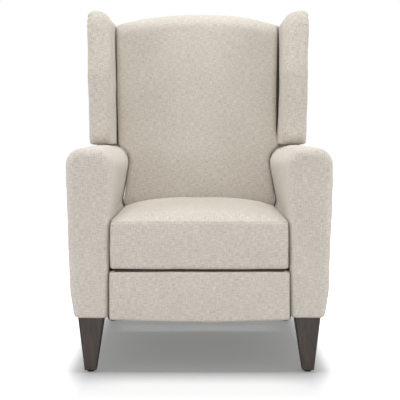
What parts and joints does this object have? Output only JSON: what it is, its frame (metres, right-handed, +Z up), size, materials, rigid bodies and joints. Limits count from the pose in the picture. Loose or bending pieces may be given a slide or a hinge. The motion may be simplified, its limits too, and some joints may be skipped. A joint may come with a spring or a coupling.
{
  "type": "recliner",
  "caption": "Push-back wing recliner with padded arms, boxed seat cushion, pull-out padded footrest on a link mechanism, and tapered square legs.",
  "frame": {"origin": "centre of the bounding box on the floor, with the back upright and the footrest folded in", "axes": "+Z up, the seat faces -Y, +X to the right of someone who looks at its front"},
  "size_m": [0.76, 0.8702, 1.1],
  "materials": {
    "upholstery": "woven melange cloth",
    "stained_wood": "dark stain, satin",
    "timber": "planed",
    "plywood": "raw",
    "zinc_steel": "black powder coat",
    "fasteners": "zinc plated",
    "spring_wire": "drawn wire",
    "nylon": "moulded",
    "deck_cloth": "woven deck cloth"
  },
  "bodies": {
    "chair_frame": {"arm_frame_l": "plywood", "arm_upholstery_l": "upholstery", "base_plate_l": "zinc_steel", "front_leg_l": "stained_wood", "rear_leg_l": "stained_wood", "arm_frame_r": "plywood", "arm_upholstery_r": "upholstery", "base_plate_r": "zinc_steel", "front_leg_r": "stained_wood", "rear_leg_r": "stained_wood", "rear_rail": "timber", "front_tube": "zinc_steel", "base_plate_bolts": "fasteners", "leg_bolts": "fasteners", "leg_glides": "nylon"},
    "seat": {"glide_shoes": "nylon", "seat_plate_l": "zinc_steel", "seat_side_rail_l": "timber", "seat_plate_r": "zinc_steel", "seat_side_rail_r": "timber", "seat_plate_screws": "fasteners", "seat_cross_tube": "zinc_steel", "seat_front_rail": "timber", "seat_rear_rail": "timber", "seat_springs": "spring_wire", "seat_deck": "deck_cloth", "seat_cushion": "upholstery", "seat_rivets": "fasteners"},
    "back": {"back_bracket_l": "zinc_steel", "back_post_l": "timber", "wing_frame_l": "plywood", "wing_l": "upholstery", "back_bracket_r": "zinc_steel", "back_post_r": "timber", "wing_frame_r": "plywood", "wing_r": "upholstery", "back_bottom_rail": "timber", "back_top_rail": "timber", "back_springs": "spring_wire", "back_cushion": "upholstery", "outside_back": "upholstery", "back_pivot_bolts": "fasteners", "back_bracket_screws": "fasteners"},
    "lift": {"lift_link_l": "zinc_steel", "lift_link_r": "zinc_steel", "lift_rivets": "fasteners"},
    "control": {"control_link_l": "zinc_steel", "control_link_r": "zinc_steel", "control_rivets": "fasteners"},
    "extension": {"extension_link_l": "zinc_steel", "extension_link_r": "zinc_steel", "extension_rivets": "fasteners"},
    "panel": {"panel_link_l": "zinc_steel", "panel_link_r": "zinc_steel", "panel_rivets": "fasteners"},
    "footrest": {"footrest_bracket_l": "zinc_steel", "footrest_bracket_r": "zinc_steel", "footrest_board": "plywood", "footrest_pad": "upholstery", "footrest_screws": "fasteners"}
  },
  "joints": [
    {"name": "seat_glide", "type": "slide", "parent": "chair_frame", "child": "seat", "axis": [0, -0.9781, 0.2079], "range_m": [0, 0.046]},
    {"name": "back_recline", "type": "hinge", "parent": "seat", "child": "back", "pos_m": [0, 0.165, 0.32], "axis": [-1, 0, 0], "range_deg": [0, 30], "stiffness_Nm_per_rad": 60, "springref_deg": -34.38},
    {"name": "footrest_lift", "type": "hinge", "parent": "seat", "child": "lift", "pos_m": [0, -0.325, 0.248], "axis": [-1, 0, 0], "range_deg": [0, 150]},
    {"name": "control_swing", "type": "hinge", "parent": "seat", "child": "control", "pos_m": [0, -0.35, 0.268], "axis": [-1, 0, 0], "range_deg": [0, 151]},
    {"name": "extension_swing", "type": "hinge", "parent": "lift", "child": "extension", "pos_m": [0, -0.14374, 0.16348], "axis": [-1, 0, 0], "range_deg": [-139.5, 0]},
    {"name": "panel_swing", "type": "hinge", "parent": "control", "child": "panel", "pos_m": [0, -0.15825, 0.20433], "axis": [-1, 0, 0], "range_deg": [-145.5, 0]},
    {"name": "footrest_turn", "type": "hinge", "parent": "extension", "child": "footrest", "pos_m": [0, -0.37556, 0.2256], "axis": [-1, 0, 0], "range_deg": [0, 79.5]}
  ],
  "couplings": [
    {"joint": "seat_glide", "follows": "back_recline", "m_per_rad": 0.08784},
    {"joint": "control_swing", "follows": "footrest_lift", "ratio": 1.0051},
    {"joint": "extension_swing", "follows": "footrest_lift", "ratio": -0.92667},
    {"joint": "panel_swing", "follows": "footrest_lift", "ratio": -0.9674},
    {"joint": "footrest_turn", "follows": "footrest_lift", "ratio": 0.52667}
  ]
}
